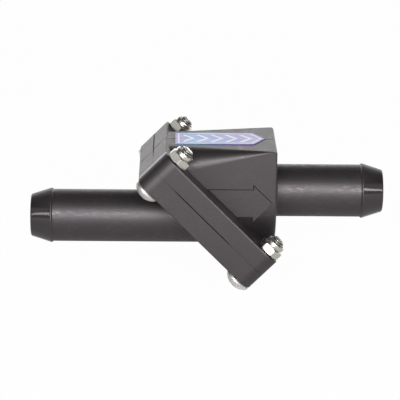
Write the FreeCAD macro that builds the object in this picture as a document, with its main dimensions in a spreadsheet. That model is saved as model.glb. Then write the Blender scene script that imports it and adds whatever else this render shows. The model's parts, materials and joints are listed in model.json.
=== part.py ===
import FreeCAD, Part
import math
import os
import Sketcher
from FreeCAD import Placement, Rotation, Vector

os.makedirs("parts", exist_ok=True)
doc = FreeCAD.newDocument("non_return_valve")

# Driving sizes in millimetres (angles in degrees). The origin is the centre of the inlet mouth, X runs with
# the flow and Z is up. "Along" and "across" on the slanted flange mean down its slope and parallel to Y.
SIZES = {
    "overall_length": 127.5,
    "outlet_rise": 10.0,
    "bore_radius": 6.5,
    "bore_length": 56.0,
    "tube_radius": 9.5,
    "bead_radius": 9.9,
    "bead_land": 0.5,
    "bead_back": 0.4,
    "nose_length": 7.2,
    "nose_tip_radius": 7.6,
    "tilt": 45.0,
    "flange_x": 64.2,
    "flange_z": 5.1,
    "flange_side": 56.0,
    "corner_radius": 5.5,
    "inlet_flange": 7.3,
    "outlet_flange": 6.7,
    "bolt_margin": 5.0,
    "screw_radius": 2.5,
    "screw_clearance": 0.25,
    "body_end": 88.5,
    "nut_room": 0.8,
    "top_height": 19.0,
    "wall": 2.5,
    "edge_growth": 0.24,
    "cavity_round": 6.0,
    "shell_margin": 3.0,
    "shell_seat": 0.2,
    "trim_span": 160.0,
    "trim_reach": 120.0,
    "arrow_recess": 0.3,
    "arrow_half_height": 5.1,
    "arrow_head_half": 6.9,
    "arrow_head_length": 7.1,
    "arrow_tip_gap": 1.3,
    "opening_half_width": 11.5,
    "opening_up": 14.5,
    "opening_down": 19.5,
    "opening_round": 8.0,
    "port_radius": 7.0,
    "port_depth": 2.0,
    "port_land": 3.2,
    "gasket_width": 2.4,
    "gasket_thick": 1.2,
    "gasket_half_width": 19.3,
    "gasket_up": 19.5,
    "gasket_down": 25.0,
    "gasket_cut": 6.0,
    "hinge_up": 9.0,
    "pin_radius": 1.25,
    "pin_clearance": 0.05,
    "pin_half_length": 15.5,
    "pin_end_gap": 0.2,
    "knuckle_radius": 2.4,
    "knuckle_half": 8.5,
    "knuckle_gap": 0.4,
    "seal_overlap": 2.5,
    "seal_thick": 1.6,
    "seal_gap": 0.4,
    "plate_inset": 0.7,
    "plate_thick": 2.0,
    "arm_half": 4.5,
    "arm_low": 0.6,
    "retainer_radius": 5.0,
    "retainer_thick": 1.0,
    "pivot_screw_radius": 2.0,
    "pivot_head_radius": 3.5,
    "pivot_head_height": 2.2,
    "pivot_nut_flats": 7.0,
    "pivot_nut_height": 3.2,
    "pivot_thread_end": 1.0,
    "head_radius": 4.85,
    "head_height": 3.2,
    "head_rim": 0.9,
    "dome_radius": 2.9,
    "socket_flats": 3.0,
    "socket_depth": 1.6,
    "screw_length": 20.5,
    "nut_flats": 8.0,
    "nut_hex_height": 3.4,
    "nut_height": 5.0,
    "collar_radius": 3.7,
    "thread_gap": 0.05,
    "label_start": 52.3,
    "label_shoulder": 80.4,
    "label_tip": 84.5,
    "label_half_width": 8.1,
    "label_thick": 0.2,
}

# Sizes that follow from the driving ones.
DERIVED = {
    "slope_cos": "cos(tilt * 1deg)",
    "slope_sin": "sin(tilt * 1deg)",
    "half_side": "flange_side / 2",
    "half_bolt": "half_side - bolt_margin",
    "body_half_width": "half_bolt - nut_flats / 2 - nut_room",
    "roof": "outlet_rise + top_height",
    "face_reach": "flange_x * slope_sin + flange_z * slope_cos + outlet_flange",
    "shell_start": "(face_reach - roof * slope_cos) / slope_sin - shell_margin",
    "shell_length": "body_end - shell_start",
    "edge_stretch": "sqrt(1 + 2 * edge_growth ^ 2)",
    "edge_length": "shell_length * edge_stretch",
    "edge_base": "edge_length * edge_growth / sqrt(1 + edge_growth ^ 2)",
    "cavity_half": "body_half_width - wall",
    "cavity_roof": "roof - wall",
    "cavity_end": "body_end - wall",
    "cavity_length": "cavity_end - shell_start",
    "port_down": "flange_z / slope_sin",
    "port_plug_radius": "port_radius + port_land",
    "screw_hole": "screw_radius + screw_clearance",
    "pin_hole": "pin_radius + pin_clearance",
    "pin_span": "2 * pin_half_length",
    "pin_pocket_span": "pin_span + 2 * pin_end_gap",
    "knuckle_relief": "knuckle_radius + knuckle_gap",
    "knuckle_span": "2 * knuckle_half",
    "knuckle_relief_span": "knuckle_span + 2 * knuckle_gap",
    "arm_span": "2 * arm_half",
    "hinge_x": "flange_x - hinge_up * slope_cos",
    "hinge_z": "flange_z + hinge_up * slope_sin",
    "seal_radius": "port_radius + seal_overlap",
    "plate_radius": "seal_radius - plate_inset",
    "arm_length": "hinge_up + port_down",
    "arm_step": "arm_length - seal_radius - seal_gap",
    "arm_ramp": "knuckle_radius * 1.4",
    "arm_root": "knuckle_radius * 0.95",
    "plate_top": "seal_thick + plate_thick",
    "pivot_hole": "pivot_screw_radius + thread_gap",
    "pivot_screw_top": "plate_top + pivot_nut_height + pivot_thread_end",
    "pivot_head_top": "-retainer_thick",
    "pivot_head_base": "-retainer_thick - pivot_head_height",
    "gasket_in_half": "gasket_half_width - gasket_width",
    "gasket_in_up": "gasket_up - gasket_width",
    "gasket_in_down": "gasket_down - gasket_width",
    "gasket_in_cut": "gasket_cut - gasket_width * (2 - sqrt(2))",
    "thread_hole": "screw_radius + thread_gap",
    "socket_corner": "socket_flats / (2 * cos(30deg))",
    "nut_corner": "nut_flats / (2 * cos(30deg))",
    "collar_height": "nut_height - nut_hex_height",
    "pivot_nut_corner": "pivot_nut_flats / (2 * cos(30deg))",
    "pivot_shank": "pivot_screw_top + retainer_thick",
    "arrow_tip_x": "body_end - arrow_tip_gap",
    "arrow_barb_x": "arrow_tip_x - arrow_head_length",
    "slab_half": "body_half_width - arrow_recess",
    "slab_span": "2 * slab_half",
    "arrow_low": "outlet_rise - arrow_half_height",
    "arrow_high": "outlet_rise + arrow_half_height",
    "barb_low": "outlet_rise - arrow_head_half",
    "barb_high": "outlet_rise + arrow_head_half",
    "opening_depth": "outlet_flange + 1",
    "outlet_tail": "overall_length - body_end",
    "inlet_root": "flange_x + tube_radius",
    "bore_start": "cavity_end - 1",
}

sheet = doc.addObject("Spreadsheet::Sheet", "dims")
for row, (alias, entry) in enumerate(list(SIZES.items()) + list(DERIVED.items()), start=1):
    cell = f"B{row}"
    sheet.set(f"A{row}", alias)
    sheet.set(cell, str(entry) if alias in SIZES else f"={entry}")
    sheet.setAlias(cell, alias)
doc.recompute()

SOLIDS = []


def value(size):
    """Number behind a size name; a leading minus turns its sign, and a plain number stands for itself."""
    if not isinstance(size, str):
        return float(size)
    if size.startswith("-"):
        return -value(size[1:])
    found = sheet.get(size)
    return float(getattr(found, "Value", found))


def bind(target, path, size):
    """Ties a property or constraint to a size of the sheet."""
    if isinstance(size, str):
        target.setExpression(path, f"-dims.{size[1:]}" if size.startswith("-") else f"dims.{size}")


def new_body(label):
    body = doc.addObject("PartDesign::Body", label)
    body.Label = label
    SOLIDS.append(body)
    return body


def new_sketch(body, name, plane, shift=None, slanted=False):
    """Sketch on an origin plane, moved along its normal by a size, or laid on the slanted joint plane."""
    sketch = body.newObject("Sketcher::SketchObject", f"{body.Name}_{name}")
    support = next(item for item in body.Origin.OriginFeatures if item.Role == plane)
    sketch.AttachmentSupport = (support, [""])
    sketch.MapMode = "FlatFace"
    if slanted:
        place = Vector(value("flange_x"), 0, value("flange_z"))
        sketch.AttachmentOffset = Placement(place, Rotation(Vector(0, 1, 0), value("tilt")))
        bind(sketch, ".AttachmentOffset.Base.x", "flange_x")
        bind(sketch, ".AttachmentOffset.Base.z", "flange_z")
    elif shift is not None:
        sketch.AttachmentOffset = Placement(Vector(0, 0, value(shift)), Rotation())
        bind(sketch, ".AttachmentOffset.Base.z", shift)
    return sketch


def fix(sketch, kind, *where):
    """Adds a constraint whose last argument is a size, and ties it to that size."""
    *parts, size = where
    index = sketch.addConstraint(Sketcher.Constraint(kind, *parts, value(size)))
    bind(sketch, f"Constraints[{index}]", size)


def pin_point(sketch, geo, pos, x, y):
    fix(sketch, "DistanceX", geo, pos, x)
    fix(sketch, "DistanceY", geo, pos, y)


def add_polygon(sketch, points):
    """Closed outline through points given as pairs of sizes."""
    spots = [Vector(value(x), value(y), 0) for x, y in points]
    lines = [sketch.addGeometry(Part.LineSegment(a, b), False) for a, b in zip(spots, spots[1:] + spots[:1])]
    for index, line in enumerate(lines):
        sketch.addConstraint(Sketcher.Constraint("Coincident", line, 2, lines[(index + 1) % len(lines)], 1))
        pin_point(sketch, line, 1, *points[index])
    return lines


def add_circle(sketch, x, y, radius):
    circle = Part.Circle(Vector(value(x), value(y), 0), Vector(0, 0, 1), value(radius))
    geo = sketch.addGeometry(circle, False)
    pin_point(sketch, geo, 3, x, y)
    fix(sketch, "Radius", geo, radius)


def add_arc(sketch, x, y, radius, start, end):
    circle = Part.Circle(Vector(x, y, 0), Vector(0, 0, 1), radius)
    return sketch.addGeometry(Part.ArcOfCircle(circle, start, end), False)


def add_line(sketch, x0, y0, x1, y1):
    return sketch.addGeometry(Part.LineSegment(Vector(x0, y0, 0), Vector(x1, y1, 0)), False)


def chain_tangent(sketch, links):
    """Joins line and arc ends so that each runs smoothly into the next."""
    for geo, pos, other, other_pos in links:
        sketch.addConstraint(Sketcher.Constraint("Tangent", geo, pos, other, other_pos))


def add_round_rect(sketch, left, right, half, radius):
    """Rectangle with round corners between two sizes along x, centred across."""
    quarter = math.pi / 2
    x0, x1, h, r = value(left), value(right), value(half), value(radius)
    low = add_line(sketch, x0 + r, -h, x1 - r, -h)
    arc_a = add_arc(sketch, x1 - r, -h + r, r, 3 * quarter, 4 * quarter)
    far = add_line(sketch, x1, -h + r, x1, h - r)
    arc_b = add_arc(sketch, x1 - r, h - r, r, 0, quarter)
    high = add_line(sketch, x1 - r, h, x0 + r, h)
    arc_c = add_arc(sketch, x0 + r, h - r, r, quarter, 2 * quarter)
    near = add_line(sketch, x0, h - r, x0, -h + r)
    arc_d = add_arc(sketch, x0 + r, -h + r, r, 2 * quarter, 3 * quarter)
    chain_tangent(sketch, [(low, 2, arc_a, 1), (arc_a, 2, far, 1), (far, 2, arc_b, 1), (arc_b, 2, high, 1),
                           (high, 2, arc_c, 1), (arc_c, 2, near, 1), (near, 2, arc_d, 1), (arc_d, 2, low, 1)])
    for line, kind in ((low, "Horizontal"), (high, "Horizontal"), (far, "Vertical"), (near, "Vertical")):
        sketch.addConstraint(Sketcher.Constraint(kind, line))
    for arc in (arc_b, arc_c, arc_d):
        sketch.addConstraint(Sketcher.Constraint("Equal", arc_a, arc))
    fix(sketch, "Radius", arc_a, radius)
    fix(sketch, "DistanceX", near, 1, left)
    fix(sketch, "DistanceX", far, 1, right)
    fix(sketch, "DistanceY", low, 1, f"-{half}")
    fix(sketch, "DistanceY", high, 1, half)


def add_section(sketch, half, top, radius=None):
    """Body section: half round below the outlet axis, upright sides above it, and a flat top, whose corners
    are round where a radius is given."""
    h, t, axis, r = value(half), value(top), value("outlet_rise"), value(radius or 0)
    under = add_arc(sketch, 0, axis, h, math.pi, 2 * math.pi)
    right = add_line(sketch, h, axis, h, t - r)
    lid = add_line(sketch, h - r, t, r - h, t)
    left = add_line(sketch, -h, t - r, -h, axis)
    chain_tangent(sketch, [(under, 2, right, 1), (left, 2, under, 1)])
    if radius:
        first = add_arc(sketch, h - r, t - r, r, 0, math.pi / 2)
        second = add_arc(sketch, r - h, t - r, r, math.pi / 2, math.pi)
        chain_tangent(sketch, [(right, 2, first, 1), (first, 2, lid, 1), (lid, 2, second, 1),
                               (second, 2, left, 1)])
        sketch.addConstraint(Sketcher.Constraint("Equal", first, second))
        fix(sketch, "Radius", first, radius)
    else:
        for line, following in ((right, lid), (lid, left)):
            sketch.addConstraint(Sketcher.Constraint("Coincident", line, 2, following, 1))
    for line, kind in ((right, "Vertical"), (left, "Vertical"), (lid, "Horizontal")):
        sketch.addConstraint(Sketcher.Constraint(kind, line))
    pin_point(sketch, under, 3, 0, "outlet_rise")
    fix(sketch, "Radius", under, half)
    fix(sketch, "DistanceY", lid, 1, top)


def feature(body, kind, name, sketch):
    made = body.newObject(f"PartDesign::{kind}", f"{body.Name}_{name}")
    made.Profile = sketch
    sketch.Visibility = False
    return made


def pad(body, name, sketch, length, reverse=False, both=False):
    made = feature(body, "Pad", name, sketch)
    made.Length = value(length)
    bind(made, "Length", length)
    made.Reversed = reverse
    made.Midplane = both
    return made


def checked_cut(body, made):
    """Recomputes after a cut and makes sure that it took something away."""
    doc.recompute()
    if not made.Shape.Volume < made.BaseFeature.Shape.Volume - 1e-6:
        raise ValueError(f"{made.Name} cuts nothing")
    return made


def pocket(body, name, sketch, length=None, reverse=False, both=False):
    """Cut of a stated depth, or through everything when no depth is given."""
    made = feature(body, "Pocket", name, sketch)
    made.Reversed = reverse
    made.Midplane = both
    if length is None:
        made.Type = "ThroughAll"
    else:
        made.Length = value(length)
        bind(made, "Length", length)
    return checked_cut(body, made)


def revolve(body, name, sketch, axis, cut=False):
    made = feature(body, "Groove" if cut else "Revolution", name, sketch)
    made.ReferenceAxis = (sketch, [axis])
    made.Angle = 360
    return checked_cut(body, made) if cut else made


def primitive(body, kind, name, place, **sizes):
    """PartDesign primitive with its properties tied to sizes."""
    made = body.newObject(f"PartDesign::{kind}", f"{body.Name}_{name}")
    for prop, size in sizes.items():
        setattr(made, prop, value(size))
        bind(made, prop, size)
    made.Placement = place
    return checked_cut(body, made) if kind.startswith("Subtractive") else made


def sheet_point(name, x, z):
    """Writes a point of a side view into the sheet as two formulas, and returns its two size names."""
    row = next(count for count in range(1, 999) if not sheet.getContents(f"A{count}"))
    names = (f"{name}_x", f"{name}_z")
    for step, (alias, formula) in enumerate(zip(names, (x, z))):
        sheet.set(f"A{row + step}", alias)
        sheet.set(f"B{row + step}", f"={formula}")
        sheet.setAlias(f"B{row + step}", alias)
    return names


def slope_strip(prefix, low, high):
    """Corners of a wide slanted strip in the side view, between two heights over the joint plane."""
    corners = []
    reach = "trim_reach"
    for name, along, height in (("a", f"-{reach}", low), ("b", reach, low), ("c", reach, high),
                                ("d", f"-{reach}", high)):
        corners.append(sheet_point(f"{prefix}_{name}",
                                   f"flange_x + ({along}) * slope_cos + ({height}) * slope_sin",
                                   f"flange_z - ({along}) * slope_sin + ({height}) * slope_cos"))
    doc.recompute()
    return corners


def tail_outline(prefix, mouth, sign, axis, ending):
    """Side outline of a hose tail: tapered nose, bead with a short land, plain tube, and a given ending."""
    outline = [
        ("centre", "0", "0"),
        ("face", "0", "nose_tip_radius"),
        ("rise", "nose_length", "bead_radius"),
        ("land", "nose_length + bead_land", "bead_radius"),
        ("fall", "nose_length + bead_land + bead_back", "tube_radius"),
    ] + ending
    points = [sheet_point(f"{prefix}_{name}", f"{mouth} {sign} ({back})", f"{axis} + ({radius})")
              for name, back, radius in outline]
    doc.recompute()
    return points


def on_flange(along, across, height):
    """Placement at a point of the slanted flange, with its Z axis along the flange's normal."""
    u, n = value(along), value(height)
    x = value("flange_x") + u * value("slope_cos") + n * value("slope_sin")
    z = value("flange_z") - u * value("slope_sin") + n * value("slope_cos")
    return Placement(Vector(x, value(across), z), Rotation(Vector(0, 1, 0), value("tilt")))


def solid(kind, name, base, shift=0, **sizes):
    """Part primitive whose properties are tied to sizes, moved up its own axis by a size."""
    made = doc.addObject(f"Part::{kind}", name)
    for prop, size in sizes.items():
        setattr(made, prop, value(size))
        bind(made, prop, size)
    made.Placement = base * Placement(Vector(0, 0, value(shift)), Rotation())
    return made


def hexagon(name, base, shift, corner, height):
    made = solid("Prism", name, base, shift, Circumradius=corner, Height=height)
    made.Polygon = 6
    return made


def combine(kind, name, shapes):
    """Part boolean of several objects; a cut takes the rest away from the first."""
    if kind == "Cut":
        made = doc.addObject("Part::Cut", name)
        made.Base = shapes[0]
        made.Tool = shapes[1] if len(shapes) == 2 else combine("MultiFuse", f"{name}_tools", shapes[1:])
    else:
        made = doc.addObject(f"Part::{kind}", name)
        made.Shapes = shapes
    return made


def keep(made, label):
    made.Label = label
    SOLIDS.append(made)
    return made


def bolt_spots():
    """Places of the four screws on the flange, upper pair first."""
    ends = ("-half_bolt", "half_bolt")
    return [(along, across) for along in ends for across in ends]


def add_flange(body, thickness, below):
    """Slanted plate with round corners on one side of the joint plane."""
    outline = new_sketch(body, "flange_outline", "XY_Plane", slanted=True)
    add_round_rect(outline, "-half_side", "half_side", "half_side", "corner_radius")
    pad(body, "flange", outline, thickness, reverse=below)


def add_screw_holes(body, upward):
    holes = new_sketch(body, "screw_holes", "XY_Plane", slanted=True)
    for along, across in bolt_spots():
        add_circle(holes, along, across, "screw_hole")
    pocket(body, "screw_cut", holes, reverse=upward)


def add_pin_pocket(body, name, radius, span):
    """Half-round pocket across the joint plane at the hinge."""
    outline = new_sketch(body, name, "XZ_Plane")
    add_circle(outline, "hinge_x", "hinge_z", radius)
    pocket(body, f"{name}_cut", outline, span, both=True)


def make_inlet_body():
    """Hose tail that runs into a slanted plate with the valve seat, gasket groove and hinge pocket."""
    body = new_body("inlet_body")
    side = new_sketch(body, "tail_outline", "XZ_Plane")
    add_polygon(side, tail_outline("inlet_tail", "0", "+", "0", [
        ("root", "inlet_root", "tube_radius"), ("root_axis", "inlet_root", "0")]))
    revolve(body, "tail", side, "H_Axis")
    trim = new_sketch(body, "tail_trim", "XZ_Plane")
    add_polygon(trim, slope_strip("inlet_trim", "-inlet_flange / 2", "trim_reach"))
    pocket(body, "tail_end", trim, "trim_span", both=True)
    add_flange(body, "inlet_flange", below=True)
    bore = new_sketch(body, "bore_circle", "YZ_Plane")
    add_circle(bore, 0, 0, "bore_radius")
    pocket(body, "bore", bore, "bore_length", reverse=True)
    throat = new_sketch(body, "throat_circle", "YZ_Plane", shift="bore_length")
    add_circle(throat, 0, 0, "port_radius")
    pocket(body, "throat", throat, reverse=True)
    plug = new_sketch(body, "seat_outline", "XY_Plane", slanted=True)
    add_circle(plug, "port_down", 0, "port_plug_radius")
    pad(body, "seat_land", plug, "port_depth", reverse=True)
    port = new_sketch(body, "port_circle", "XY_Plane", slanted=True)
    add_circle(port, "port_down", 0, "port_radius")
    pocket(body, "port", port, "port_depth")
    add_screw_holes(body, upward=False)
    groove = new_sketch(body, "gasket_groove", "XY_Plane", slanted=True)
    add_gasket_outline(groove)
    pocket(body, "gasket_seat", groove, "gasket_thick")
    add_pin_pocket(body, "pin_seat", "pin_hole", "pin_pocket_span")
    add_pin_pocket(body, "knuckle_seat", "knuckle_relief", "knuckle_relief_span")


def add_gasket_outline(sketch):
    """Outer and inner edge of the gasket: rectangles whose corners are cut at 45 degrees."""
    for up, down, half, cut in (("gasket_up", "gasket_down", "gasket_half_width", "gasket_cut"),
                                ("gasket_in_up", "gasket_in_down", "gasket_in_half", "gasket_in_cut")):
        outline = [(f"-{up} + {cut}", f"-{half}"), (f"{down} - {cut}", f"-{half}"),
                   (down, f"-{half} + {cut}"), (down, f"{half} - {cut}"),
                   (f"{down} - {cut}", half), (f"-{up} + {cut}", half),
                   (f"-{up}", f"{half} - {cut}"), (f"-{up}", f"-{half} + {cut}")]
        corners = [sheet_point(f"{sketch.Name}_{half}_{index}", x, y) for index, (x, y) in enumerate(outline)]
        doc.recompute()
        add_polygon(sketch, corners)


def arrow_points():
    """Flow arrow in the side view; its shaft starts behind the flange."""
    return [("shell_start", "arrow_low"), ("arrow_barb_x", "arrow_low"), ("arrow_barb_x", "barb_low"),
            ("arrow_tip_x", "outlet_rise"), ("arrow_barb_x", "barb_high"), ("arrow_barb_x", "arrow_high"),
            ("shell_start", "arrow_high")]


def round_shoulder(body, side):
    """Rounds an upper edge with a cone that grows from the outlet end to the flange: a slanted plane takes
    the corner off between the cone's two tangent lines, and the cone fills it up again."""
    growth = value("edge_growth")
    apex = Vector(value("body_end"), side * value("body_half_width"), value("roof"))
    outward = Vector(-growth, side, 1)
    reach = value("shell_length")
    corner = Placement(apex, Rotation(Vector(0, 0, 1), outward))
    primitive(body, "SubtractiveBox", f"shoulder_plane_{side + 1}",
              corner * Placement(Vector(-2 * reach, -2 * reach, 0), Rotation()),
              Length=4 * reach, Width=4 * reach, Height=reach)
    inward = Vector(-1, -side * growth, -growth)
    primitive(body, "AdditiveCone", f"shoulder_{side + 1}",
              Placement(apex, Rotation(Vector(0, 0, 1), inward)),
              Radius1=0, Radius2="edge_base", Height="edge_length")
    doc.recompute()


def make_outlet_body():
    """Valve chamber with shoulders that round off to the flange, flow arrows, slanted plate and hose tail."""
    body = new_body("outlet_body")
    shell = new_sketch(body, "shell_section", "YZ_Plane", shift="shell_start")
    add_section(shell, "body_half_width", "roof")
    pad(body, "shell", shell, "shell_length")
    doc.recompute()
    for side in (-1, 1):
        round_shoulder(body, side)
    slab = new_sketch(body, "arrow_slab", "XZ_Plane")
    add_polygon(slab, arrow_points())
    pad(body, "arrow_pad", slab, "slab_span", both=True)
    for name, shift, outward in (("near", "slab_half", False), ("far", "-slab_half", True)):
        recess = new_sketch(body, f"arrow_{name}", "XZ_Plane", shift=shift)
        add_polygon(recess, arrow_points())
        pocket(body, f"arrow_recess_{name}", recess, "body_half_width", reverse=not outward)
    cavity = new_sketch(body, "cavity_section", "YZ_Plane", shift="shell_start")
    add_section(cavity, "cavity_half", "cavity_roof", "cavity_round")
    pocket(body, "cavity", cavity, "cavity_length", reverse=True)
    trim = new_sketch(body, "shell_trim", "XZ_Plane")
    add_polygon(trim, slope_strip("outlet_trim", "-trim_reach", "outlet_flange - shell_seat"))
    pocket(body, "shell_face", trim, "trim_span", both=True)
    add_flange(body, "outlet_flange", below=False)
    opening = new_sketch(body, "opening_outline", "XY_Plane", slanted=True)
    add_round_rect(opening, "-opening_up", "opening_down", "opening_half_width", "opening_round")
    pocket(body, "opening", opening, "opening_depth", reverse=True)
    side = new_sketch(body, "tail_outline", "XZ_Plane")
    add_polygon(side, tail_outline("outlet_tail", "overall_length", "-", "outlet_rise", [
        ("root", "outlet_tail + wall / 2", "tube_radius"), ("root_axis", "outlet_tail + wall / 2", "0")]))
    axis = side.addGeometry(Part.LineSegment(Vector(0, value("outlet_rise"), 0),
                                             Vector(value("body_end"), value("outlet_rise"), 0)), True)
    pin_point(side, axis, 1, 0, "outlet_rise")
    pin_point(side, axis, 2, "body_end", "outlet_rise")
    revolve(body, "tail", side, "Axis0")
    bore = new_sketch(body, "bore_circle", "YZ_Plane", shift="bore_start")
    add_circle(bore, 0, "outlet_rise", "bore_radius")
    pocket(body, "bore", bore, reverse=True)
    add_screw_holes(body, upward=True)
    add_pin_pocket(body, "pin_seat", "pin_hole", "pin_pocket_span")


def make_gasket():
    body = new_body("body_gasket")
    outline = new_sketch(body, "ring", "XY_Plane", slanted=True)
    add_gasket_outline(outline)
    pad(body, "ring_pad", outline, "gasket_thick", reverse=True)


def make_label():
    body = new_body("flow_label")
    outline = new_sketch(body, "outline", "XY_Plane", shift="roof")
    add_polygon(outline, [("label_start", "-label_half_width"), ("label_shoulder", "-label_half_width"),
                          ("label_tip", 0), ("label_shoulder", "label_half_width"),
                          ("label_start", "label_half_width")])
    pad(body, "film", outline, "label_thick")


def make_flap():
    """Flap with its hinge barrel, drawn in a frame with its origin on the pivot and X down the slope."""
    body = new_body("flap")
    barrel = new_sketch(body, "barrel_circle", "XZ_Plane")
    add_circle(barrel, 0, 0, "knuckle_radius")
    pad(body, "barrel", barrel, "knuckle_span", both=True)
    arm = new_sketch(body, "arm_outline", "XZ_Plane")
    add_polygon(arm, [(0, "arm_low"), ("arm_step", "arm_low"), ("arm_step", "seal_thick"),
                      ("arm_length", "seal_thick"), ("arm_length", "plate_top"), ("arm_ramp", "plate_top"),
                      (0, "arm_root")])
    pad(body, "arm", arm, "arm_span", both=True)
    disc = new_sketch(body, "disc_circle", "XY_Plane", shift="seal_thick")
    add_circle(disc, "arm_length", 0, "plate_radius")
    pad(body, "disc", disc, "plate_thick")
    hole = new_sketch(body, "pin_circle", "XZ_Plane")
    add_circle(hole, 0, 0, "pin_hole")
    pocket(body, "pin_cut", hole, "trim_span", both=True)
    pivot = new_sketch(body, "screw_circle", "XY_Plane")
    add_circle(pivot, "arm_length", 0, "pivot_hole")
    pocket(body, "screw_cut", pivot, reverse=True)
    body.Placement = on_flange("-hinge_up", 0, 0)


def make_flap_trim():
    """Rubber seal, its retainer, and the screw and nut that clamp them to the flap, on the port's axis."""
    base = on_flange("port_down", 0, 0)
    seal = solid("Cylinder", "seal_disc", base, Radius="seal_radius", Height="seal_thick")
    keep(combine("Cut", "seal_ring", [seal, solid("Cylinder", "seal_hole", base, Radius="pivot_hole",
                                                  Height="seal_thick")]), "flap_seal")
    disc = solid("Cylinder", "retainer_disc", base, "pivot_head_top", Radius="retainer_radius",
                 Height="retainer_thick")
    hole = solid("Cylinder", "retainer_hole", base, "pivot_head_top", Radius="pivot_hole",
                 Height="retainer_thick")
    keep(combine("Cut", "retainer_ring", [disc, hole]), "seal_retainer")
    head = solid("Cylinder", "pivot_head", base, "pivot_head_base", Radius="pivot_head_radius",
                 Height="pivot_head_height")
    shank = solid("Cylinder", "pivot_shank_rod", base, "pivot_head_top", Radius="pivot_screw_radius",
                  Height="pivot_shank")
    keep(combine("MultiFuse", "pivot_screw", [head, shank]), "flap_screw")
    block = hexagon("pivot_nut_block", base, "plate_top", "pivot_nut_corner", "pivot_nut_height")
    thread = solid("Cylinder", "pivot_nut_thread", base, "plate_top", Radius="pivot_hole",
                   Height="pivot_nut_height")
    keep(combine("Cut", "pivot_nut", [block, thread]), "flap_nut")


def make_hinge_pin():
    centre = on_flange("-hinge_up", 0, 0).Base
    base = Placement(centre - Vector(0, value("pin_half_length"), 0), Rotation(Vector(1, 0, 0), -90))
    keep(solid("Cylinder", "hinge_rod", base, Radius="pin_radius", Height="pin_span"), "hinge_pin")


def add_hexagon(sketch, corner):
    """Regular hexagon about the origin with one corner on the sketch's X axis."""
    radius = value(corner)
    circle = sketch.addGeometry(Part.Circle(Vector(0, 0, 0), Vector(0, 0, 1), radius), True)
    pin_point(sketch, circle, 3, 0, 0)
    fix(sketch, "Radius", circle, corner)
    angles = [k * math.pi / 3 for k in range(6)]
    spots = [Vector(radius * math.cos(turn), radius * math.sin(turn), 0) for turn in angles]
    lines = [sketch.addGeometry(Part.LineSegment(spots[k], spots[(k + 1) % 6]), False) for k in range(6)]
    for index, line in enumerate(lines):
        sketch.addConstraint(Sketcher.Constraint("Coincident", line, 2, lines[(index + 1) % 6], 1))
        sketch.addConstraint(Sketcher.Constraint("PointOnObject", line, 1, circle))
        if index:
            sketch.addConstraint(Sketcher.Constraint("Equal", lines[0], line))
    fix(sketch, "DistanceY", lines[0], 1, 0)


def make_screw(tag, along, across):
    """Dome-headed screw with a hexagon socket; its origin is under the head."""
    body = new_body(f"flange_screw_{tag}")
    side = new_sketch(body, "profile", "XZ_Plane")
    add_polygon(side, [(0, "-head_height"), ("dome_radius", "-head_height"), ("head_radius", "-head_rim"),
                       ("head_radius", 0), ("screw_radius", 0), ("screw_radius", "screw_length"),
                       (0, "screw_length")])
    revolve(body, "turned", side, "V_Axis")
    hexagonal = new_sketch(body, "socket", "XY_Plane", shift="-head_height")
    add_hexagon(hexagonal, "socket_corner")
    pocket(body, "socket_cut", hexagonal, "socket_depth", reverse=True)
    body.Placement = on_flange(along, across, "-inlet_flange")


def make_lock_nut(tag, along, across):
    """Hexagon nut with a round collar."""
    base = on_flange(along, across, "outlet_flange")
    block = hexagon(f"hex_{tag}", base, 0, "nut_corner", "nut_hex_height")
    collar = solid("Cylinder", f"collar_{tag}", base, "nut_hex_height", Radius="collar_radius",
                   Height="collar_height")
    outer = combine("MultiFuse", f"nut_outer_{tag}", [block, collar])
    thread = solid("Cylinder", f"thread_{tag}", base, Radius="thread_hole", Height="nut_height")
    keep(combine("Cut", f"nut_{tag}", [outer, thread]), f"lock_nut_{tag}")


make_inlet_body()
make_outlet_body()
make_gasket()
make_label()
make_flap()
make_flap_trim()
make_hinge_pin()
for number, (along, across) in enumerate(bolt_spots(), start=1):
    make_screw(number, along, across)
    make_lock_nut(number, along, across)
doc.recompute()

for item in doc.Objects:
    if "Invalid" in item.State or "Error" in item.State:
        raise ValueError(f"{item.Label} did not build: {item.State}")
for item in SOLIDS:
    shape = item.Shape
    if shape.isNull() or not shape.isValid() or len(shape.Solids) != 1:
        raise ValueError(f"{item.Label} is not one valid solid")
for item in SOLIDS:
    item.Shape.exportStep(f"parts/{item.Label}.step")
    box = item.Shape.BoundBox
    print(f"{item.Label:16s} {item.Shape.Volume:10.1f} mm3  x {box.XMin:.2f} {box.XMax:.2f}"
          f"  y {box.YMin:.2f} {box.YMax:.2f}  z {box.ZMin:.2f} {box.ZMax:.2f}")
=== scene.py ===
"""Dresses the non-return valve: moulded halves, steel fasteners, flap parts and the film label."""

import json
import logging
import math
from dataclasses import dataclass, field
from enum import Enum
from typing import Callable, Iterable, NamedTuple, Sequence, Union

import bmesh
import bpy
from mathutils import Matrix, Vector


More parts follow.
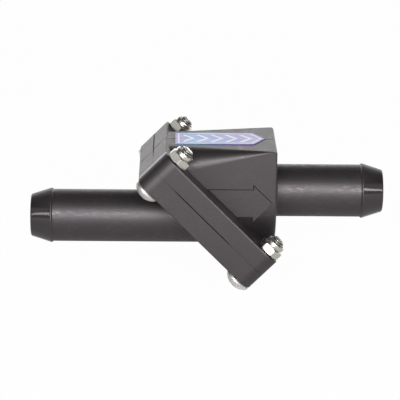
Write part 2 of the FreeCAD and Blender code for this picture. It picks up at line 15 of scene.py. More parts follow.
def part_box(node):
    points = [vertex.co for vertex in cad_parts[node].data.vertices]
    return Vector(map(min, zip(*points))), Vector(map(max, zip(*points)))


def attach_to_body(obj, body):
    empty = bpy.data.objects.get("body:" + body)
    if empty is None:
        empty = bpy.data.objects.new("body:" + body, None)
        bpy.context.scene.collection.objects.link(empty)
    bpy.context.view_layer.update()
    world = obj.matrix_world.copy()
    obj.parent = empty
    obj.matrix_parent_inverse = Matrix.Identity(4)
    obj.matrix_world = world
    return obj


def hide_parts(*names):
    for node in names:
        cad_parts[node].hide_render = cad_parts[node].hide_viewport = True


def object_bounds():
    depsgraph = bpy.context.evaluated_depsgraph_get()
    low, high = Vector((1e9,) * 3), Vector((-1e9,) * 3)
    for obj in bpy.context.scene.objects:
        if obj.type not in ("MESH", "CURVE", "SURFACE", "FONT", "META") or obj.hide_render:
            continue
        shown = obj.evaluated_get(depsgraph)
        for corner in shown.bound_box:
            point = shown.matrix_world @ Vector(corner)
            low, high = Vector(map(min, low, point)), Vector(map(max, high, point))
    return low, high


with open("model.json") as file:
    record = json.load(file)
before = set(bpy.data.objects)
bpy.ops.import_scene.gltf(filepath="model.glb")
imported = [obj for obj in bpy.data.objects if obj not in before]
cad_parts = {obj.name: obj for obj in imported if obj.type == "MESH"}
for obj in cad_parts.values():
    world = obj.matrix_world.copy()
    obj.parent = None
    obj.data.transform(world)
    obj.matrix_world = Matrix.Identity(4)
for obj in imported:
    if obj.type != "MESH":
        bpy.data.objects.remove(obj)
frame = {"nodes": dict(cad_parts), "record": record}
CAD_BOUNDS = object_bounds()
MOUNTS = {mount["name"]: mount for mount in frame["record"]["mounts"]}
MM = 0.001

# Tolerances: metres off a face, metres in a cut, and what counts as 1 and as 0 in a normal
NEAR = 0.02 * MM
TINY = 0.0005 * MM
SQUARE = 0.9995
UPRIGHT = 0.01

SMOOTH_ANGLE = math.radians(28)
BEVEL_ANGLE = math.radians(25)
FLAT_ANGLE = math.radians(0.6)
WHITE = (1.0, 1.0, 1.0, 1.0)
LOG = logging.getLogger("valve")

BMesh, BMFace = bmesh.types.BMesh, bmesh.types.BMFace
BMEdge, BMVert = bmesh.types.BMEdge, bmesh.types.BMVert
Material = bpy.types.Material
Colour = tuple[float, float, float]
Span = tuple[float, float]
Value = Union["Wire", float]


class Slot(Enum):
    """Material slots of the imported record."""

    BODY = "body_plastic"
    SEAL = "seal_rubber"
    FLAP = "flap_plastic"
    STEEL = "stainless"


class Body(Enum):
    """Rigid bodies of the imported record."""

    HOUSING = "housing"
    FLAP = "flap_unit"


# Shader building


class Wire:
    """A number socket of a node tree that takes part in Python expressions."""

    def __init__(self, shader: "Shader", socket: bpy.types.NodeSocket) -> None:
        """Remembers the shader and the socket."""
        self.shader = shader
        self.socket = socket

    def _math(self, operation: str, *values: Value) -> "Wire":
        """Adds a Math node whose inputs are wires or numbers, and returns its result."""
        return self.shader.node("ShaderNodeMath", {"operation": operation}, dict(enumerate(values)))

    def __add__(self, other: Value) -> "Wire":
        """Sum."""
        return self._math("ADD", self, other)

    __radd__ = __add__

    def __sub__(self, other: Value) -> "Wire":
        """Difference."""
        return self._math("SUBTRACT", self, other)

    def __rsub__(self, other: Value) -> "Wire":
        """Difference from a number."""
        return self._math("SUBTRACT", other, self)

    def __mul__(self, other: Value) -> "Wire":
        """Product."""
        return self._math("MULTIPLY", self, other)

    __rmul__ = __mul__

    def __truediv__(self, other: Value) -> "Wire":
        """Quotient."""
        return self._math("DIVIDE", self, other)

    def __abs__(self) -> "Wire":
        """Absolute value."""
        return self._math("ABSOLUTE", self)

    def fraction(self) -> "Wire":
        """Part after the decimal point."""
        return self._math("FRACT", self)

    def root(self) -> "Wire":
        """Square root."""
        return self._math("SQRT", self)

    def least(self, other: Value) -> "Wire":
        """The smaller of the two."""
        return self._math("MINIMUM", self, other)

    def most(self, other: Value) -> "Wire":
        """The larger of the two."""
        return self._math("MAXIMUM", self, other)

    def rise(self, low: float, high: float) -> "Wire":
        """Smooth step.

        Args:
            low: Value at which the result starts to leave 0.
            high: Value at which the result reaches 1.

        Returns:
            A wire between 0 and 1.
        """
        settings = {"interpolation_type": "SMOOTHSTEP"}
        inputs = {"Value": self, "From Min": low, "From Max": high, "To Min": 0.0, "To Max": 1.0}
        return self.shader.node("ShaderNodeMapRange", settings, inputs)

    def band(self, low: float, high: float, soft: float) -> "Wire":
        """Mask that is 1 between two values, with soft edges."""
        return self.rise(low - soft, low + soft) * (1 - self.rise(high - soft, high + soft))


class Place(NamedTuple):
    """Object coordinates: the vector and its three parts, in metres."""

    vector: Wire
    x: Wire
    y: Wire
    z: Wire

    def on_flange(self, joint: Span) -> tuple[Wire, Wire]:
        """Height over the flange's joint and way down its slope, from the joint's centre."""
        right, up = self.x - joint[0], self.z - joint[1]
        return (right + up) * math.sqrt(0.5), (right - up) * math.sqrt(0.5)


class Shader:
    """Node tree of a material or a world, filled through one method."""

    def __init__(self, owner: Material | bpy.types.World) -> None:
        """Empties the tree.

        Args:
            owner: Material or world that the tree belongs to.
        """
        self.owner = owner
        self.owner.use_nodes = True
        self.tree = owner.node_tree
        self.tree.nodes.clear()

    def node(self, kind: str, settings: dict | None = None, inputs: dict | None = None,
             output: int | str = 0) -> Wire:
        """Adds a node.

        Args:
            kind: Type of the node.
            settings: Properties that are set before the inputs.
            inputs: Values or wires of its inputs, by name or number.
            output: Name or number of the output that is returned.

        Returns:
            The wire of that output.
        """
        made = self.tree.nodes.new(kind)
        for name, setting in (settings or {}).items():
            setattr(made, name, setting)
        for name, entry in (inputs or {}).items():
            if isinstance(entry, Wire):
                self.tree.links.new(entry.socket, made.inputs[name])
            else:
                made.inputs[name].default_value = entry
        return Wire(self, made.outputs[output]) if made.outputs else None

    def place(self) -> Place:
        """Adds the object coordinates."""
        vector = self.node("ShaderNodeTexCoord", output="Object")
        parts = [self.node("ShaderNodeSeparateXYZ", inputs={"Vector": vector}, output=axis) for axis in "XYZ"]
        return Place(vector, *parts)

    def noise(self, vector: Wire, size: float, detail: float = 3.0, rough: float = 0.55,
              stretch: Sequence[float] = (1, 1, 1)) -> Wire:
        """Soft random pattern.

        Args:
            vector: Coordinates in metres.
            size: Size of its blotches in metres.
            detail: Number of finer layers.
            rough: Weight of the finer layers.
            stretch: Factors on the coordinates, which squeeze the pattern along an axis.

        Returns:
            A wire around 0.5.
        """
        squeezed = self.node("ShaderNodeVectorMath", {"operation": "MULTIPLY"},
                             {0: vector, 1: tuple(stretch)})
        inputs = {"Vector": squeezed, "Scale": 1 / size, "Detail": detail, "Roughness": rough}
        return self.node("ShaderNodeTexNoise", inputs=inputs)

    def mix(self, factor: Value, first: Colour | Wire, second: Colour | Wire) -> Wire:
        """Blends two colours.

        Args:
            factor: Share of the second colour.
            first: Colour at factor 0.
            second: Colour at factor 1.

        Returns:
            The wire of the blended colour.
        """
        inputs = {0: factor}
        for number, entry in ((6, first), (7, second)):
            inputs[number] = entry if isinstance(entry, Wire) else (*entry, 1.0)
        return self.node("ShaderNodeMix", {"data_type": "RGBA"}, inputs, output=2)

    def bump(self, height: Wire, depth: float, normal: Wire | None = None) -> Wire:
        """Relief.

        Args:
            height: Wire of the height, 0 to 1.
            depth: Height in metres of a full step.
            normal: Normal of a relief that this one is added to.

        Returns:
            The wire of the bumped normal.
        """
        inputs = {"Height": height, "Strength": 1.0, "Distance": depth}
        if normal is not None:
            inputs["Normal"] = normal
        return self.node("ShaderNodeBump", inputs=inputs)

    def finish(self, surface: Wire) -> Material:
        """Links the surface to the output and returns the material."""
        self.node("ShaderNodeOutputMaterial", inputs={"Surface": surface})
        return self.owner

    def principled(self, **inputs: Value | Colour) -> Material:
        """Ends the tree in a Principled BSDF.

        Args:
            inputs: Its inputs; an underscore in a name stands for a space.

        Returns:
            The finished material.
        """
        named = {name.replace("_", " "): (*entry, 1.0) if isinstance(entry, tuple) else entry
                 for name, entry in inputs.items()}
        return self.finish(self.node("ShaderNodeBsdfPrincipled", inputs=named))


def scaled(colour: Colour, factor: float) -> Colour:
    """A colour times a number."""
    return tuple(factor * part for part in colour)


@dataclass(frozen=True)
class MouldedPlastic:
    """Satin black moulded plastic with a fine grain, painted shade in the joint's gap, lighter plate edges
    that are partly painted highlight, and smoother hose noses.
    """

    name: str
    colour: Colour = (0.0135, 0.0112, 0.0122)
    dust_and_edge_highlight: Colour = (0.075, 0.070, 0.072)
    gloss_tint: Colour = (1.0, 0.925, 0.965)
    roughness: float = 0.49
    nose_roughness: float = 0.12
    top_dust: float = 0.35
    grain_size: float = 0.35 * MM
    grain_depth: float = 0.012 * MM
    scuff_size: float = 0.9 * MM
    scuff_depth: float = 0.035 * MM
    cloud_size: float = 12 * MM
    nose_planes: Span = (-1.0, 1.0)
    nose_border: float = 0.1 * MM
    tail_step: Span = (50 * MM, 60 * MM)
    tail_rise: float = 10 * MM
    dusty_height: Span = (3.5 * MM, 7.5 * MM)
    joint: Span = (0.0, 1.0)
    line_front: Span = (-27.5 * MM, -26.5 * MM)
    line_middle: float = -3.5 * MM
    line_fade: Span = (10 * MM, 17 * MM)
    line_end: Span = (-14 * MM, 2 * MM)
    line_width: Span = (0.11 * MM, 0.21 * MM)
    line_waver: float = 0.1 * MM
    end_width: float = 0.09 * MM
    plate_side: float = 1.0
    plate_top: float = 1.0
    corner_radius: float = 6.2 * MM
    rim_width: Span = (0.2 * MM, 0.7 * MM)
    ridge_width: Span = (0.3 * MM, 0.7 * MM)

    def material(self) -> Material:
        """Builds the shader.

        Returns:
            The plastic's material.
        """
        shader = Shader(bpy.data.materials.new(self.name))
        at = shader.place()
        grain = shader.noise(at.vector, self.grain_size, detail=2)
        cloud = shader.noise(at.vector, self.cloud_size)
        scuff = shader.noise(at.vector, self.scuff_size, detail=5, rough=0.72, stretch=(0.4, 1, 1))
        fleck = scuff.rise(0.46, 0.64) * cloud.rise(0.42, 0.56)
        start, end = self.nose_planes
        nose = (start - at.x).most(at.x - end).rise(-self.nose_border, self.nose_border)
        line, edge = self._joint_gap_shade(at, scuff), self._edge_wear_and_highlight(at, grain)
        tint = shader.mix(fleck * 0.2 * (1 - nose), self.colour, self.dust_and_edge_highlight)
        # Partly painted highlight: the plate's edges are lightened towards five times the dust colour, partly
        # as rubbed wear.
        tint = shader.mix(edge, tint, scaled(self.dust_and_edge_highlight, 5))
        # Painted shade: the joint's gap is darkened to a tenth of the plastic's colour.
        tint = shader.mix(line, tint, scaled(self.colour, 0.1))
        skin = self.roughness + (cloud - 0.5) * 0.12 + (grain - 0.5) * 0.08 - fleck * 0.13 + line * 0.4
        over_axis = at.z - at.x.rise(*self.tail_step) * self.tail_rise
        top = over_axis.rise(*self.dusty_height) * self.top_dust
        polish = self.nose_roughness + (cloud - 0.5) * 0.06 + top
        relief = shader.bump(grain * (1 - nose), self.grain_depth)
        marks = scuff * (1 - nose) * (0.25 + cloud.rise(0.42, 0.60))
        # Metallic makes the painted gap shade black and lifts the reflection of the edges' painted highlight.
        return shader.principled(
            Base_Color=tint, Metallic=line.most(edge * 0.6), Roughness=skin * (1 - nose) + nose * polish,
            Normal=shader.bump(marks, self.scuff_depth, relief), Specular_IOR_Level=1.0,
            Specular_Tint=self.gloss_tint)

    def _joint_gap_shade(self, at: Place, scuff: Wire) -> Wire:
        """Painted shade of the gap where the plates stand a hair apart: in front between the screws, and at
        their upper end.

        Args:
            at: Object coordinates.
            scuff: Pattern that breaks the line up.

        Returns:
            A mask of the painted gap shade.
        """
        height, along = at.on_flange(self.joint)
        front = along.rise(*self.line_front)
        front_part = (1 - abs(along - self.line_middle).rise(*self.line_fade)) * front
        end_part = at.y.rise(*self.line_end) * (1 - front)
        width = abs(height) + (scuff - 0.5) * self.line_waver - end_part * self.end_width
        return (1 - width.rise(*self.line_width)) * (0.02 + front_part.most(end_part) * 0.98)

    def _edge_wear_and_highlight(self, at: Place, grain: Wire) -> Wire:
        """Lighter edges of the outlet plate: its rim, partly rubbed wear and partly painted highlight, and
        the ridge where its upper end turns into the corner, a painted highlight line.

        Args:
            at: Object coordinates.
            grain: Pattern that breaks the edges up.

        Returns:
            A mask of the edges.
        """
        height, along = at.on_flange(self.joint)
        from_rim = abs(height - self.plate_top) + abs(abs(at.y) - self.plate_side)
        rim = (1 - from_rim.rise(*self.rim_width)) * grain.rise(0.3, 0.6) * 0.35
        from_ridge = abs(at.y + self.plate_side - self.corner_radius) * 0.35 + abs(along + self.plate_side)
        return rim.most((1 - from_ridge.rise(*self.ridge_width)) * grain.rise(0.25, 0.5))


@dataclass(frozen=True)
class Stainless:
    """Bright stainless steel, turned or pressed, with faint tool marks."""

    name: str
    colour: Colour = (0.78, 0.76, 0.70)
    stain_and_groove_shade: Colour = (0.60, 0.57, 0.49)
    roughness: float = 0.27
    stain_size: float = 2.5 * MM
    mark_size: float = 0.3 * MM
    mark_depth: float = 0.0004 * MM

    def material(self) -> Material:
        """Builds the shader.

        Returns:
            The steel's material.
        """
        shader = Shader(bpy.data.materials.new(self.name))
        at = shader.place()
        cloud = shader.noise(at.vector, self.stain_size, detail=4)
        marks = shader.noise(at.vector, self.mark_size, detail=2, stretch=(1, 3, 1))
        tint = shader.mix(cloud.rise(0.5, 0.8) * 0.4, self.colour, self.stain_and_groove_shade)
        # Painted shade: the thread grooves are darkened towards 0.12 of the stain colour.
        tint = shader.mix(self.groove_shade(at), tint, scaled(self.stain_and_groove_shade, 0.12))
        rough = self.roughness + (cloud - 0.5) * 0.08 + (marks - 0.5) * 0.04
        relief = shader.bump(marks, self.mark_depth)
        return shader.principled(Base_Color=tint, Metallic=1.0, Roughness=rough, Normal=relief)

    def groove_shade(self, at: Place) -> Value:
        """Share of painted groove shade on the steel, which is none here."""
        return 0.0


@dataclass(frozen=True)
class ScrewSteel(Stainless):
    """Steel of the flange screws, with painted shade in the grooves of their threads."""

    joint: Span = (0.0, 1.0)
    half_bolt: float = 1.0
    groove: Span = (2.18 * MM, 2.38 * MM)
    seat: Span = (0, 1 * MM)
    end: Span = (12.7 * MM, 12.8 * MM)

    def groove_shade(self, at: Place) -> Value:
        """Share of painted shade in the grooves, from the distance to the nearest screw's axis.

        Args:
            at: Object coordinates.

        Returns:
            A mask of the grooves, short of the screws' ends.
        """
        height, along = at.on_flange(self.joint)
        along = abs(abs(along) - self.half_bolt)
        across = abs(abs(at.y) - self.half_bolt)
        radius = (along * along + across * across).root()
        reach = height.rise(*self.seat) * (1 - height.rise(*self.end))
        return (1 - radius.rise(*self.groove)) * reach * 0.9


@dataclass(frozen=True)
class SoftGoods:
    """Rubber or nylon: one colour with slight clouding and a dull skin."""

    name: str
    colour: Colour
    worn: Colour
    roughness: float
    grain: float = 0.5 * MM
    cloud_size: float = 4 * MM
    depth: float = 0.01 * MM

    def material(self) -> Material:
        """Builds the shader.

        Returns:
            The material of the rubber or nylon.
        """
        shader = Shader(bpy.data.materials.new(self.name))
        at = shader.place()
        cloud = shader.noise(at.vector, self.cloud_size, detail=4)
        fine = shader.noise(at.vector, self.grain, detail=2)
        tint = shader.mix(cloud.rise(0.4, 0.75) * 0.6, self.colour, self.worn)
        rough = self.roughness + (cloud - 0.5) * 0.15 + (fine - 0.5) * 0.08
        relief = shader.bump(fine, self.depth)
        return shader.principled(Base_Color=tint, Roughness=rough, Normal=relief)


@dataclass(frozen=True)
class PrintedFilm:
    """Foil label in blue that turns violet along the flow, with painted sheen in light cyan streaks, a pale
    border and chevrons.
    """

    name: str
    start: float
    shoulder: float
    tip: float
    half_width: float
    blue: Colour = (0.12, 0.24, 0.54)
    violet: Colour = (0.24, 0.17, 0.46)
    sheen: Colour = (0.25, 0.52, 0.64)
    pale: Colour = (0.66, 0.66, 0.72)
    border: float = 0.9 * MM
    line: float = 0.6 * MM
    feather: float = 0.08 * MM
    shimmer_size: float = 6 * MM
    streak_size: float = 2.2 * MM
    grain_size: float = 2 * MM
    grain_depth: float = 0.012 * MM
    pitch: float = 5.2 * MM
    inset: Span = (2.8 * MM, 3.0 * MM)
    violet_end: Span = (2 * MM, 5.5 * MM)

    def material(self) -> Material:
        """Builds the shader.

        Returns:
            The film's material.
        """
        shader = Shader(bpy.data.materials.new(self.name))
        at = shader.place()
        across, from_start = abs(at.y), at.x - self.start
        run = self.tip - self.shoulder
        slant = math.hypot(run, self.half_width)
        to_point = ((self.tip - at.x) * self.half_width - across * run) / slant
        inside = (self.half_width - across).least(from_start).least(to_point)
        outline = inside.band(self.border, self.border + self.line, self.feather)
        along = (at.x + across * 0.7 - self.start) / self.pitch
        chevron = along.fraction().band(0.08, 0.36, 0.02) * inside.rise(*self.inset)
        shimmer = shader.noise(at.vector, self.shimmer_size)
        turn = (from_start / (self.tip - self.start) + (shimmer - 0.5) * 0.5).rise(0.15, 0.85)
        turn = turn.most(1 - (from_start + across * 0.5).rise(*self.violet_end))
        # Painted sheen: light cyan streaks stand in for the foil's shimmer.
        sheen_streak = shader.noise(at.vector, self.streak_size, stretch=(0.12, 1, 1)).rise(0.46, 0.66)
        tint = shader.mix(turn, self.blue, self.violet)
        tint = shader.mix(sheen_streak * 0.6 * (1 - turn * 0.5), tint, self.sheen)
        tint = shader.mix(outline.most(chevron) * 0.85, tint, self.pale)
        rough = 0.3 + (shimmer - 0.5) * 0.12
        grain = shader.noise(at.vector, self.grain_size, detail=2)
        relief = shader.bump(grain, self.grain_depth)
        return shader.principled(Base_Color=tint, Roughness=rough, Normal=relief, Metallic=0.24,
                                 Specular_IOR_Level=0.2)


@dataclass(frozen=True)
class PaleFloor:
    """Floor that the camera sees as near white and that keeps a faint shadow; reflections see a glow that is
    full behind the part, weaker in front and dimmest near the part, a painted shadow.
    """

    name: str
    colour: Colour = (0.78, 0.78, 0.78)
    veil: float = 0.98
    near_share: float = 0.10
    front_share: float = 0.34
    back_share: float = 1.0
    front_edge: Span = (20 * MM, 120 * MM)
    back_edge: Span = (0, 50 * MM)

    def material(self) -> Material:
        """Builds the shader.

        Returns:
            The floor's material.
        """
        shader = Shader(bpy.data.materials.new(self.name))
        at = shader.place()
        ahead, behind = (-1 * at.y).rise(*self.front_edge), at.y.rise(*self.back_edge)
        # Painted shadow in reflections: the glow that glossy rays see is dimmed near the part.
        share = (self.near_share + ahead * (self.front_share - self.near_share)
                 + behind * (self.back_share - self.near_share))
        camera, glossy, passed = (shader.node("ShaderNodeLightPath", output=f"Is {ray} Ray")
                                  for ray in ("Camera", "Glossy", "Transmission"))
        seen = camera.most(passed).most(glossy * share)
        paint = shader.node("ShaderNodeBsdfDiffuse", inputs={"Color": (*self.colour, 1.0)})
        glow = shader.node("ShaderNodeEmission", inputs={"Color": WHITE, "Strength": 1.0})
        mixed = shader.node("ShaderNodeMixShader", inputs={0: seen * self.veil, 1: paint, 2: glow})
        return shader.finish(mixed)


# Mesh building


def new_piece(name: str, mesh: BMesh, finish: Material) -> bpy.types.Object:
    """Turns a bmesh into a scene object with even shading.

    Args:
        name: Name of the piece.
        mesh: Its shape in the frame of the part; it is freed.
        finish: Its material.

    Returns:
        The new object.
    """
    mesh.normal_update()
    for edge in mesh.edges:
        edge.smooth = len(edge.link_faces) != 2 or edge.calc_face_angle() < SMOOTH_ANGLE
    data = bpy.data.meshes.new(name)
    mesh.to_mesh(data)
    mesh.free()
    data.polygons.foreach_set("use_smooth", [True] * len(data.polygons))
    data.materials.append(finish)
    piece = bpy.data.objects.new(name, data)
    bpy.context.scene.collection.objects.link(piece)
    even = piece.modifiers.new("even_shading", "WEIGHTED_NORMAL")
    even.keep_sharp = True
    return piece


def attach(piece: bpy.types.Object, body: Body, nodes: Iterable[str]) -> None:
    """Ties a piece to its body and hides the nodes that it stands for.

    Args:
        piece: The finished piece.
        body: Body that it moves with.
        nodes: Nodes that it replaces.
    """
    if nodes:
        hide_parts(*nodes)
    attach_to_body(piece, body.value)
    LOG.info("%s: %d faces on %s", piece.name, len(piece.data.polygons), body.value)


def dress_node(node: str, finish: Material) -> None:
    """Gives a carried-over node its finish.

    Args:
        node: Name of the node.
        finish: Its material.
    """
    data = frame["nodes"][node].data
    data.materials.clear()
    data.materials.append(finish)
    LOG.info("%s: kept from the frame", node)


def merged_copy(node: str) -> BMesh:
    """Copies a node's mesh, joins its loose triangles and clears the lines on its flat faces.

    Args:
        node: Name of the node.

    Returns:
        The copy as a bmesh.
    """
    mesh = bmesh.new()
    mesh.from_mesh(frame["nodes"][node].data)
    bmesh.ops.remove_doubles(mesh, verts=mesh.verts, dist=0.002 * MM)
    bmesh.ops.dissolve_limit(mesh, angle_limit=FLAT_ANGLE, verts=mesh.verts, edges=mesh.edges)
    return mesh


def cut_faces(mesh: BMesh, faces: list[BMFace], spot: Vector,
              normal: Vector) -> tuple[list[BMFace], list[BMVert]]:
    """Cuts some faces along a plane.

    Args:
        mesh: The mesh that they belong to.
        faces: The faces.
        spot: A point of the plane.
        normal: Its normal.

    Returns:
        The faces after the cut, and the points on the plane.
    """
    parts = list({item for face in faces for item in (*face.verts, *face.edges)}) + faces
    cut = bmesh.ops.bisect_plane(mesh, geom=parts, dist=TINY, plane_co=spot, plane_no=normal)
    return ([item for item in cut["geom"] if isinstance(item, BMFace)],
            [item for item in cut["geom_cut"] if isinstance(item, BMVert)])


def on_ring(x: float, z: float, low: float, high: float) -> Callable[[Vector], bool]:
    """Test for points at a place along the part, between two radii about an axis of height z."""
    return lambda spot: abs(spot.x - x) < NEAR and low < math.hypot(spot.y, spot.z - z) < high


@dataclass(frozen=True)
class EdgeRule:
    """Rounds the sharp edges whose both ends pass a test."""

    width: float
    test: Callable[[Vector], bool]
    segments: int = 3

    def apply(self, mesh: BMesh) -> int:
        """Bevels the chosen edges.

        Args:
            mesh: The mesh to change.

        Returns:
            How many edges were rounded.
        """
        chosen = [edge for edge in mesh.edges
                  if len(edge.link_faces) == 2 and edge.calc_face_angle() > BEVEL_ANGLE
                  and all(self.test(vert.co) for vert in edge.verts)]
        if chosen:
            bmesh.ops.bevel(mesh, geom=chosen, offset=self.width, offset_type="OFFSET",
                            affect="EDGES", segments=self.segments, profile=0.5, material=-1,
                            clamp_overlap=False)
        return len(chosen)


@dataclass(frozen=True)
class Flange:
    """The slanted joint: a frame with x down the slope, y across and z along its normal."""

    centre: Vector
    half_side: float
    half_bolt: float
    tilt: float = math.radians(45)
    inlet_plate: float = 7.3 * MM
    outlet_plate: float = 6.7 * MM
    corner_reach: float = 6.2 * MM

    def matrix(self, along: float = 0.0, across: float = 0.0, height: float = 0.0) -> Matrix:
        """Place of a point of the flange, with its z axis along the normal."""
        turned = Matrix.Translation(self.centre) @ Matrix.Rotation(self.tilt, 4, "Y")
        return turned @ Matrix.Translation((along, across, height))

    def local(self, point: Vector) -> Vector:
        """A point of the part's frame in the flange's own frame."""
        return self.matrix().inverted() @ point

    def on_rim(self, point: Vector, height: float) -> bool:
        """Whether a point lies on the outline of a plate at a height over the joint.

        Args:
            point: Point in the part's frame.
            height: Height of the plate's face.

        Returns:
            True on the outline.
        """
        spot = self.local(point)
        reach = max(abs(spot.x), abs(spot.y))
        corner = abs(spot.x) + abs(spot.y)
        near = reach > self.half_side - NEAR or corner > 2 * self.half_side - self.corner_reach
        return abs(spot.z - height) < NEAR and near


def measure_flange(hinge_climb: float = 9 * MM) -> Flange:
    """Reads the flange from the frame: the hinge lies on the joint plane, and the nodes give the rest.

    Args:
        hinge_climb: How far up the slope the hinge lies from the flange's centre.

    Returns:
        The flange.
    """
    hinge = Vector(frame["record"]["behaviour"]["joints"][0]["pos_m"])
    downhill = Vector((math.cos(Flange.tilt), 0, -math.sin(Flange.tilt)))
    low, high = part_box("inlet_body")
    screw_low, screw_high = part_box("flange_screw_1")
    return Flange(centre=hinge + hinge_climb * downhill, half_side=(high.y - low.y) / 2,
                  half_bolt=-(screw_low.y + screw_high.y) / 2)


@dataclass(frozen=True)
class Shell:
    """Outside of the valve chamber, whose shoulders are cones with their apex at the outlet end."""

    end: float
    half_width: float
    roof: float
    axis_height: float
    growth: float = 0.24

    def cone(self, side: int) -> tuple[Vector, Vector, float]:
        """The cone of one shoulder.

        Args:
            side: -1 in front, 1 behind.

        Returns:
            Its apex, the direction in which it grows, and its radius per length.
        """
        apex = Vector((self.end, side * self.half_width, self.roof))
        axis = Vector((-1, -side * self.growth, -self.growth)).normalized()
        return apex, axis, self.growth / math.sqrt(1 + self.growth ** 2)


def measure_shell(axis_height: float, margin: float = 2 * MM) -> Shell:
    """Reads the shell's planes from its node.

    Args:
        axis_height: Height of the outlet's axis.
        margin: How far before the label's tip the points begin that count.

    Returns:
        The shell.
    """
    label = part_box("flow_label")[1]
    spots = [vert.co for vert in frame["nodes"]["outlet_body"].data.vertices]
    upper = [spot for spot in spots
             if spot.x > label.x - margin and spot.z > axis_height + label.y * 1.5]
    return Shell(end=max(spot.x for spot in upper), half_width=max(spot.y for spot in upper),
                 roof=max(spot.z for spot in upper), axis_height=axis_height)


def spin_profile(points: Sequence[Span], steps: int = 48) -> BMesh:
    """Turns an outline of (radius, height) points about the z axis.

    Args:
        points: The outline, in order.
        steps: Facets round the axis.

    Returns:
        The turned shape.
    """
    mesh = bmesh.new()
    verts = [mesh.verts.new((radius, 0, height)) for radius, height in points]
    edges = [mesh.edges.new(pair) for pair in zip(verts, verts[1:])]
    bmesh.ops.spin(mesh, geom=verts + edges, cent=(0, 0, 0), axis=(0, 0, 1), angle=math.tau,
                   steps=steps, use_merge=True)
    bmesh.ops.remove_doubles(mesh, verts=mesh.verts, dist=TINY)
    bmesh.ops.recalc_face_normals(mesh, faces=mesh.faces)
    return mesh


def arc_points(centre: Span, radius: float, start: float, end: float, count: int) -> list[Span]:
    """Points on an arc of the (radius, height) plane; its angles are degrees from outward."""
    turns = [math.radians(start + (end - start) * step / (count - 1)) for step in range(count)]
    return [(centre[0] + radius * math.cos(turn), centre[1] + radius * math.sin(turn))
            for turn in turns]


def hex_corner(flats: float) -> float:
    """Radius of the corners of a hexagon of this width across flats."""
    return flats / 2 / math.cos(math.radians(30))


def join(target: BMesh, other: BMesh) -> None:
    """Adds a second shape to the first and frees it.

    Args:
        target: The bmesh that grows.
        other: The bmesh that is added.
    """
    data = bpy.data.meshes.new("joined")
    other.to_mesh(data)
    other.free()
    target.from_mesh(data)
    bpy.data.meshes.remove(data)


@dataclass(frozen=True)
class DomeScrew:
    """Dome-headed screw with a hexagon socket; its origin is under the head, its end up the z axis."""

    head_radius: float = 4.85 * MM
    head_height: float = 3.4 * MM
    rim: float = 1.0 * MM
    rim_round: float = 0.3 * MM
    crown_points: int = 12
    socket_flats: float = 3.0 * MM
    socket_depth: float = 1.6 * MM
    socket_lip: float = 0.15 * MM
    socket_sink: float = 0.08 * MM
    shank_radius: float = 2.04 * MM
    thread_radius: float = 2.47 * MM
    plain_radius: float = 2.45 * MM
    plain_taper: float = 0.3 * MM
    pitch: float = 0.8 * MM
    flank: float = 0.42
    crest: float = 0.06
    thread_root: float = 0.05 * MM
    steps_per_turn: int = 32
    length: float = 20.5 * MM
    thread_start: float = 9.5 * MM
    end_chamfer: float = 0.45 * MM

    def mesh(self) -> BMesh:
        """Builds the screw.

        Returns:
            Head, shank and thread as one bmesh.
        """
        rise = self.head_height - self.rim
        dome = (self.head_radius ** 2 + rise ** 2) / (2 * rise)
        mouth = hex_corner(self.socket_flats) + self.socket_lip
        start, end = (math.degrees(math.acos(radius / dome)) for radius in (self.head_radius, mouth))
        crown = arc_points((0, self.head_height - dome), dome, start, end, self.crown_points)
        outline = [(0, self.length), (self.shank_radius - self.end_chamfer, self.length),
                   (self.shank_radius, self.length - self.end_chamfer),
                   (self.shank_radius, self.thread_start),
                   (self.plain_radius, self.thread_start - self.plain_taper), (self.plain_radius, 0),
                   (self.head_radius - self.rim_round, 0), (self.head_radius, -self.rim_round)]
        mesh = spin_profile(outline + [(radius, -height) for radius, height in crown])
        self._cut_socket(mesh)
        join(mesh, self._thread())
        return mesh

    def _cut_socket(self, mesh: BMesh) -> None:
        """Closes the open top of the dome with a hexagonal recess.

        Args:
            mesh: The turned screw.
        """
        rim = [edge for edge in mesh.edges if edge.is_boundary]
        height = min(vert.co.z for edge in rim for vert in edge.verts) + self.socket_sink
        made = bmesh.ops.create_circle(mesh, segments=6, radius=hex_corner(self.socket_flats),
                                       cap_ends=False, matrix=Matrix.Translation((0, 0, height)))
        ring = list({edge for vert in made["verts"] for edge in vert.link_edges})
        bmesh.ops.bridge_loops(mesh, edges=rim + ring)
        deep = bmesh.ops.extrude_edge_only(mesh, edges=ring)["geom"]
        verts = [item for item in deep if isinstance(item, BMVert)]
        bmesh.ops.translate(mesh, verts=verts, vec=(0, 0, self.socket_depth))
        floor = [item for item in deep if isinstance(item, BMEdge)
                 and all(vert in verts for vert in item.verts)]
        bmesh.ops.edgeloop_fill(mesh, edges=floor)
        bmesh.ops.recalc_face_normals(mesh, faces=mesh.faces)

    def _thread(self) -> BMesh:
        """Builds the helical ridge that stands on the shank.

        Returns:
            The ridge as a closed bmesh.
        """
        turns = (self.length - self.thread_start) / self.pitch - 1
        mesh = bmesh.new()
        base = self.shank_radius - self.thread_root
        start = self.thread_start + self.pitch / 2
        corners = [(base, -self.flank), (self.thread_radius, -self.crest),
                   (self.thread_radius, self.crest), (base, self.flank)]
        verts = [mesh.verts.new((radius, 0, start + share * self.pitch)) for radius, share in corners]
        face = mesh.faces.new(verts)
        bmesh.ops.spin(mesh, geom=verts + list(face.edges) + [face], cent=(0, 0, 0), axis=(0, 0, 1),
                       dvec=(0, 0, self.pitch / self.steps_per_turn), angle=math.tau * turns,
                       steps=round(self.steps_per_turn * turns), use_merge=False)
        bmesh.ops.recalc_face_normals(mesh, faces=mesh.faces)
        return mesh


